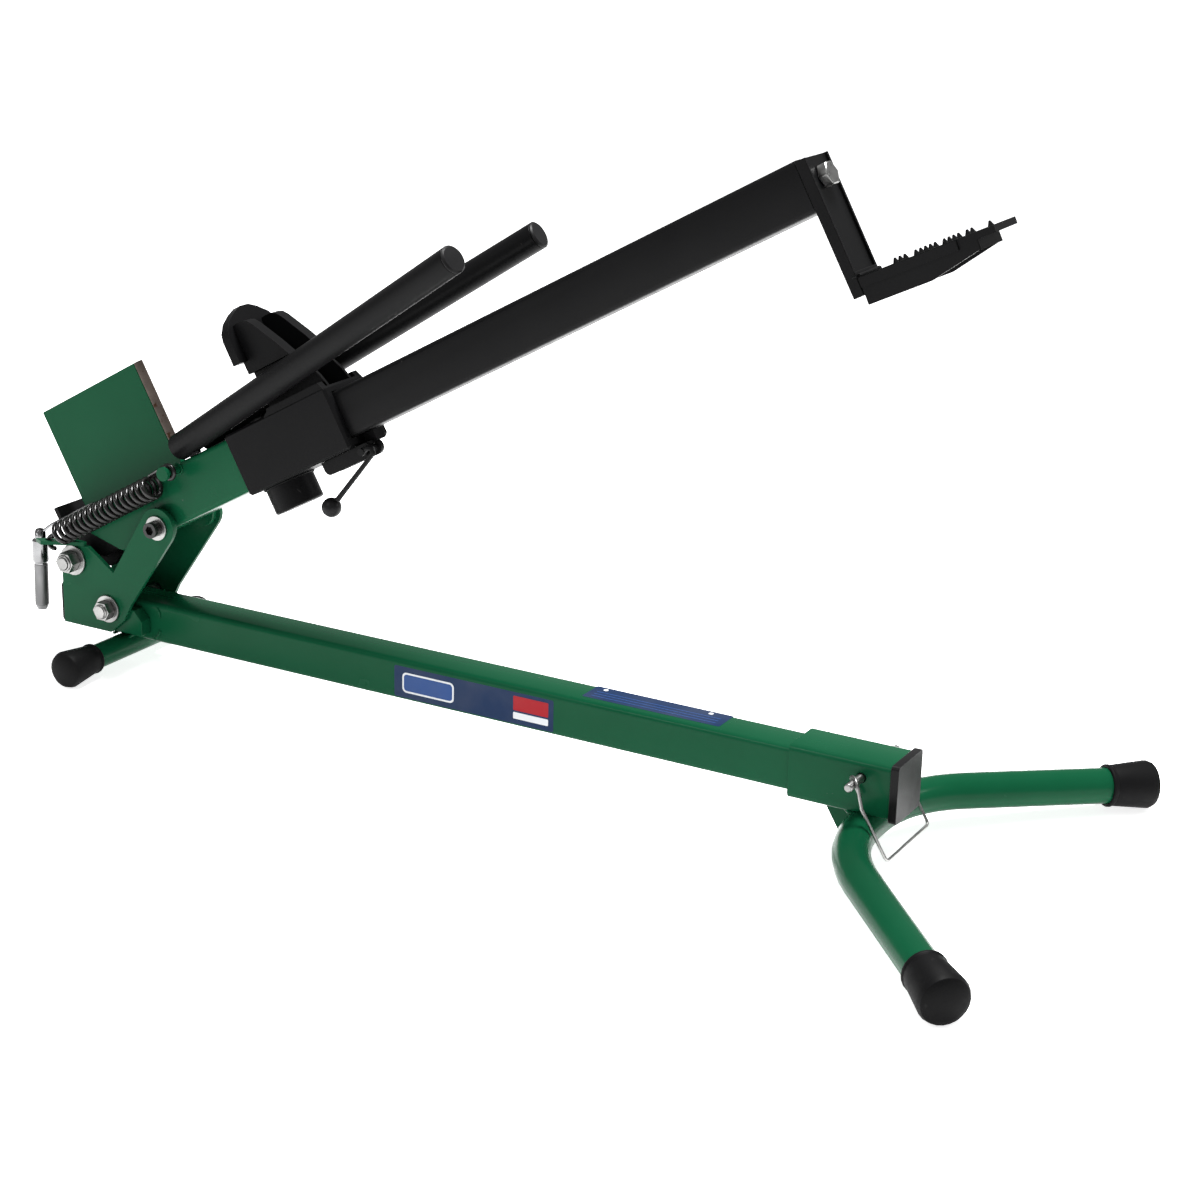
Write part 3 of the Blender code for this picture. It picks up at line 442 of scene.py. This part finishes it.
PIN_BEAD_R = 5.6              # bead round a spring pin
PIN_BEAD_Y = 30.6             # just off the sleeve's side
CUP_AT = (171.0, 0.0)         # arm frame X and Y of the cup's axis
CUP_BEAD_R = 27.4
CUP_BEAD_Z = -35.8
CROSS_TUBE_SEAMS = (("rear", -61.0), ("front", -39.0))    # beam frame X


def build_welds():
    """The beads that hold the fabricated pieces together."""
    green = (GREEN, "green_enamel")
    black = (BLACK, "black_enamel")
    for label, side in (("near", -1), ("far", 1)):
        wedge_foot = [(-104.0, side * 4.6, 30.4), (43.0, side * 4.6, 30.4)]
        weld_bead("weld_wedge_" + label, ARM, wedge_foot, 1.5, "splitting_frame", *green)
        leg_saddle = [(822.5, side * 19.0, -27.6), (829.0, side * 25.0, -28.2),
                      (845.0, side * 28.0, -30.0)]
        weld_bead("weld_leg_" + label, BEAM, leg_saddle, 2.0, "base", *green)
        gusset_top = [(790.0, side * 3.4, -27.7), (818.0, side * 3.4, -27.7)]
        weld_bead("weld_gusset_" + label, BEAM, gusset_top, 1.3, "base", *green)
        pin_root = ring_xz(*SPRING_PIN, PIN_BEAD_R, side * PIN_BEAD_Y, 18)
        weld_bead("weld_spring_pin_" + label, ARM, pin_root, 1.1, "splitting_frame", *green, True)
        bar_foot = [(84.0, side * 26.5, 31.0), (92.0, side * 28.5, 31.4), (101.0, side * 29.6, 31.6)]
        weld_bead("weld_bar_" + label, ARM, bar_foot, 1.9, "splitting_frame", *black)
    for label, x in CROSS_TUBE_SEAMS:
        tube_seam = [(x, -22.0, -23.4), (x, 22.0, -23.4)]
        weld_bead("weld_cross_tube_" + label, BEAM, tube_seam, 1.8, "base", *green)
    upper = [(2.0, -22.9, 18.0), (5.0, -23.0, 14.0), (6.0, -23.0, 8.0)]
    weld_bead("weld_bracket_upper", BEAM, upper, 1.5, "base", *green)
    lower = [(6.0, -23.0, -8.0), (3.5, -23.0, -14.0), (-2.0, -22.9, -19.0)]
    weld_bead("weld_bracket_lower", BEAM, lower, 1.4, "base", *green)
    pedal_foot = [(1.8, -23.0, 0.8), (1.8, 23.0, 0.8)]
    weld_bead("weld_pedal_foot", PEDAL, pedal_foot, 2.2, "ram_lever", *black)
    strap_foot = [(869.0, -25.2, -89.6), (873.0, -25.2, -90.0)]
    weld_bead("weld_strap_foot_near", ARM, strap_foot, 1.7, "ram_lever", *black)
    cup_root = [(x, y, CUP_BEAD_Z) for x, y in arc(CUP_AT, CUP_BEAD_R, 0.0, 350.0, 35)]
    weld_bead("weld_cup", ARM, cup_root, 1.3, "jaw", CAST, "black_enamel", True)


# ---------------------------------------------------------------- return springs
SPRING_X = (-106.0, 38.0)     # the coils' low and high end in the arm frame
SPRING_Y = (55.0, 46.0)
SPRING_Z = (16.5, 18.0)
SPRING_R = 11.2               # from the spring's axis to the wire's
SPRING_WIRE = 2.7             # the wire's own radius
SPRING_COILS = 18
TURN_STEPS = 28               # points in one coil
HOOK_R = 7.0
LOW_HOOK = (-75.0 - ARM_ANGLE, -262.0 - ARM_ANGLE)    # degrees at which a hook's arc starts and ends
HIGH_HOOK = (105.0, -150.0)
HOOK_STEPS = (20, 22)
TAB_HOLE = (-119.0, 81.6)     # beam frame X and Z
SPRING_PIN = (64.0, 24.5)     # arm frame X and Z


def beam_to_arm(x, z):
    """A point of the beam frame's XZ plane in the arm frame."""
    point = ARM.inverted() @ BEAM @ Vector((x, 0.0, z))
    return point.x, point.z


def build_springs():
    """A tension spring on each side, hooked to the bracket's tab and to the sleeve's pin."""
    for label, side in (("near", -1), ("far", 1)):
        y_low, y_high = (side * y for y in SPRING_Y)
        tab = beam_to_arm(TAB_HOLE[0] + HOOK_R, TAB_HOLE[1])
        hook = arc(tab, HOOK_R, *LOW_HOOK, HOOK_STEPS[0])
        points = [(x, y_low, z) for x, z in hook]
        low = Vector((SPRING_X[0], y_low, SPRING_Z[0]))
        high = Vector((SPRING_X[1], y_high, SPRING_Z[1]))
        count = SPRING_COILS * TURN_STEPS
        for i in range(count + 1):
            turn = 2 * math.pi * i / TURN_STEPS
            centre = low.lerp(high, i / count)
            points.append((centre.x, centre.y + side * SPRING_R * math.sin(turn),
                           centre.z + SPRING_R * math.cos(turn)))
        points += [(x, y_high, z) for x, z in arc(SPRING_PIN, HOOK_R, *HIGH_HOOK, HOOK_STEPS[1])]
        mesh = curve_mesh([place(ARM, p) for p in points], SPRING_WIRE * MM, 4)
        spring = mesh_piece("spring_coil_" + label, mesh, BLACK_GLOSS, None)
        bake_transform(spring)
        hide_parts("return_spring_" + label)


# ---------------------------------------------------------------- handle
GRIP_R = 7.45
GRIP_TOP = -35.0              # below the hinge, in the handle frame
GRIP_BOTTOM = -83.5
KNURL_DEPTH = 0.5
KNURL_COUNT = 18              # diamonds round the grip
KNURL_ROWS = 84
KNURL_FADE = 3.0              # rows over which the diamonds run out at each end
KNURL_FACETS = 5              # faces across a diamond


def build_knurl():
    """The grip's knurled skin, with its diamonds in the mesh."""
    ring_steps = KNURL_COUNT * KNURL_FACETS
    bm = bmesh.new()
    rows = []
    for k in range(KNURL_ROWS + 1):
        height = GRIP_TOP + (GRIP_BOTTOM - GRIP_TOP) * k / KNURL_ROWS
        fade = min(1.0, k / KNURL_FADE, (KNURL_ROWS - k) / KNURL_FADE)
        row = []
        for i in range(ring_steps):
            turn = 2 * math.pi * i / ring_steps
            lead = height / GRIP_R * KNURL_COUNT / 2.0
            raised = abs(math.sin(turn * KNURL_COUNT / 2 + lead) * math.sin(turn * KNURL_COUNT / 2 - lead))
            radius = GRIP_R + fade * KNURL_DEPTH * raised
            row.append(bm.verts.new(round_point(HANDLE, radius, turn, height)))
        rows.append(row)
    for upper, lower in zip(rows, rows[1:]):
        for i in range(ring_steps):
            j = (i + 1) % ring_steps
            bm.faces.new((upper[i], lower[i], lower[j], upper[j]))
    bm.faces.new(rows[0])
    bm.faces.new(list(reversed(rows[-1])))
    bmesh.ops.recalc_face_normals(bm, faces=bm.faces)
    mesh = bpy.data.meshes.new("handle_knurl")
    bm.to_mesh(mesh)
    bm.free()
    mesh_piece("handle_knurl", mesh, GRIP, "handle")


# ---------------------------------------------------------------- stickers
STICKER_LIFT = 0.12           # mm that a film stands proud of what it is on
STICKER_GAP = 0.02            # mm from the beam to a film's underside
BEAM_HALF = 22.5
# On the beam's side: name, low and high corner (beam frame X and Z), corner radius, layer and film.
SIDE_FILMS = (
    ("side_sticker", (313.0, -19.0), (504.0, 15.0), 2.0, 0, NAVY),
    ("side_sticker_frame", (323.0, -13.0), (386.0, 9.0), 5.0, 1, PALE),
    ("side_sticker_field", (325.0, -11.0), (384.0, 7.0), 3.6, 2, BLUE),
    ("side_sticker_panel", (457.0, -4.5), (498.0, 11.0), 1.2, 1, RED),
    ("side_sticker_blank", (457.0, -13.5), (498.0, -6.5), 1.0, 1, PALE),
)
TOP_STICKER = ((530.0, -12.0), (683.0, 20.5))         # low and high corner, beam frame X and Y
LINE_SPAN = (537.0, 676.0)
LINE_STARTS = (-6.0, 0.0, 6.0)
LINE_WIDTH = 1.2
DOT_X = (543.0, 661.0)
DOT_Y = 14.5
DOT_R = 2.6


def rounded(low, high, radius):
    """The outline of a rectangle with round corners."""
    corners = ((high[0] - radius, high[1] - radius, 0.0), (low[0] + radius, high[1] - radius, 90.0),
               (low[0] + radius, low[1] + radius, 180.0), (high[0] - radius, low[1] + radius, 270.0))
    outline = []
    for x, y, start in corners:
        outline += arc((x, y), radius, start, start + 90.0, 5)
    return outline


def film_piece(name, outline, to_point, layer, material):
    """A film on the beam; to_point gives the beam-frame point of an outline point at a height."""
    bm = bmesh.new()
    rings = []
    for height in (STICKER_GAP, STICKER_LIFT * (layer + 1)):
        rings.append([bm.verts.new(place(BEAM, to_point(u, v, height))) for u, v in outline])
    under, top = rings
    bm.faces.new(under)
    bm.faces.new(list(reversed(top)))
    count = len(outline)
    for i in range(count):
        j = (i + 1) % count
        bm.faces.new((under[i], under[j], top[j], top[i]))
    bmesh.ops.recalc_face_normals(bm, faces=bm.faces)
    mesh = bpy.data.meshes.new(name)
    bm.to_mesh(mesh)
    bm.free()
    piece = mesh_piece(name, mesh, material, "base")
    for polygon in piece.data.polygons:
        polygon.use_smooth = False


def build_stickers():
    """Plain stickers without text on the beam's near side and top."""

    def on_side(u, v, height):
        """A point on the near side, from beam frame X and Z."""
        return (u, -BEAM_HALF - height, v)

    def on_top(u, v, height):
        """A point on the top, from beam frame X and Y."""
        return (u, v, BEAM_HALF + height)

    for name, low, high, radius, layer, material in SIDE_FILMS:
        film_piece(name, rounded(low, high, radius), on_side, layer, material)
    film_piece("top_sticker", rounded(*TOP_STICKER, 2.0), on_top, 0, NAVY)
    for i, start in enumerate(LINE_STARTS):
        line = rounded((LINE_SPAN[0], start), (LINE_SPAN[1], start + LINE_WIDTH), 0.5)
        film_piece("top_sticker_line_%d" % (i + 1), line, on_top, 1, BLUE)
    for i, x in enumerate(DOT_X):
        dot = arc((x, DOT_Y), DOT_R, 0.0, 340.0, 17)
        film_piece("top_sticker_dot_%d" % (i + 1), dot, on_top, 1, PALE)


# ---------------------------------------------------------------- fasteners
LINK_BOLT = (-94.8, 61.5)     # beam frame X and Z
CLAMP_BOLT = (-48.8, 13.4)
LINK_COLLAR = (9.2, 6.9)      # outer and inner radius
CLAMP_COLLAR = (8.2, 6.0)
COLLAR_HEIGHT = 1.8
COLLAR_SINK = 0.6             # how far a collar reaches into the nut


def nut_collar(name, x, z, face, outward, outer, inner):
    """The round collar of a lock nut, standing on the nut's outer face, about the Y axis."""
    axis = BEAM @ Matrix.Translation((x, face, z)) @ Matrix.Rotation(math.radians(-90.0 * outward), 4, "X")
    profile = [(outer, -COLLAR_SINK), (outer, COLLAR_HEIGHT - 0.8), (outer - 0.7, COLLAR_HEIGHT),
               (inner + 0.5, COLLAR_HEIGHT), (inner, COLLAR_HEIGHT - 0.5), (inner, -COLLAR_SINK)]
    mesh_piece(name, turned_mesh(axis, profile), ZINC, "base")


def build_collars():
    """Lock nut collars on the two through bolts."""
    faces = {}
    for stem in ("link_bolt_nut", "clamp_bolt_nut"):
        low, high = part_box(stem)
        outward = 1 if high.y > 0.0 else -1
        faces[stem] = ((high.y if outward > 0 else low.y) / MM, outward)
    nut_collar("link_nut_collar", *LINK_BOLT, *faces["link_bolt_nut"], *LINK_COLLAR)
    nut_collar("clamp_nut_collar", *CLAMP_BOLT, *faces["clamp_bolt_nut"], *CLAMP_COLLAR)


# ---------------------------------------------------------------- stage, light and camera
FLOOR_SIZE = 30.0
FLOOR_SCALE = 0.8             # of its slight unevenness in tone
WORLD_GLOW = 0.35
FLOOR_GLOW = 0.80             # the floor's own light, which keeps it near white with the lamps low


def build_stage():
    """A plain pale floor and soft light all round."""
    bpy.ops.mesh.primitive_plane_add(size=FLOOR_SIZE)
    floor = bpy.context.active_object
    floor.name = "studio_floor"
    material, tree, shader, coords = new_material("studio_floor")
    shade = grey(tree, noise(tree, coords, FLOOR_SCALE, detail=2.0), 0.3, 0.7, 0.93, 0.95)
    tree.links.new(shade, shader.inputs["Base Color"])
    shader.inputs["Roughness"].default_value = 0.7
    shader.inputs["Specular IOR Level"].default_value = 0.2
    shader.inputs["Emission Color"].default_value = (1.0, 1.0, 1.0, 1.0)
    shader.inputs["Emission Strength"].default_value = FLOOR_GLOW
    floor.data.materials.append(material)
    world = bpy.data.worlds.new("studio")
    world.use_nodes = True
    background = world.node_tree.nodes["Background"]
    background.inputs["Color"].default_value = (1.0, 1.0, 1.0, 1.0)
    background.inputs["Strength"].default_value = WORLD_GLOW
    bpy.context.scene.world = world
    bpy.context.scene.view_settings.view_transform = "Standard"


def area_light(name, location, target, size, power):
    """A square soft box aimed at a point."""
    data = bpy.data.lights.new(name, "AREA")
    data.size = size
    data.energy = power
    light = bpy.data.objects.new(name, data)
    light.location = location
    light.rotation_euler = (Vector(target) - Vector(location)).to_track_quat("-Z", "Y").to_euler()
    bpy.context.scene.collection.objects.link(light)


def build_lights():
    """A weak key from the front left, a strong light from above and a small one on the far edges."""
    area_light("key", (-1.3, -2.4, 2.5), (0.0, 0.0, 0.25), size=0.9, power=24.0)
    area_light("top", (0.3, 0.5, 2.8), (0.0, 0.0, 0.2), size=0.8, power=165.0)
    area_light("edge", (2.2, 1.6, 1.6), (0.1, 0.0, 0.3), size=0.4, power=9.0)


CAMERA_AT = (1.19777, -2.00969, 1.00471)
CAMERA_LOOK = (0.10043, 0.0, 0.19359)
CAMERA_UP = (-0.2017, 0.2699, 0.9415)
LENS = 74.1
SENSOR_WIDTH = 36.0


def build_camera():
    """The camera at the viewing angle that the machine is shown from."""
    data = bpy.data.cameras.new("camera")
    data.lens = LENS
    data.sensor_width = SENSOR_WIDTH
    camera = bpy.data.objects.new("camera", data)
    back = (Vector(CAMERA_AT) - Vector(CAMERA_LOOK)).normalized()
    right = Vector(CAMERA_UP).cross(back).normalized()
    up = back.cross(right)
    turn = Matrix((right, up, back)).transposed().to_4x4()
    camera.matrix_world = Matrix.Translation(CAMERA_AT) @ turn
    bpy.context.scene.collection.objects.link(camera)
    bpy.context.scene.camera = camera


# ---------------------------------------------------------------- the scene
dress_nodes()
build_springs()
build_welds()
build_knurl()
build_stickers()
build_collars()
build_stage()
build_lights()
build_camera()
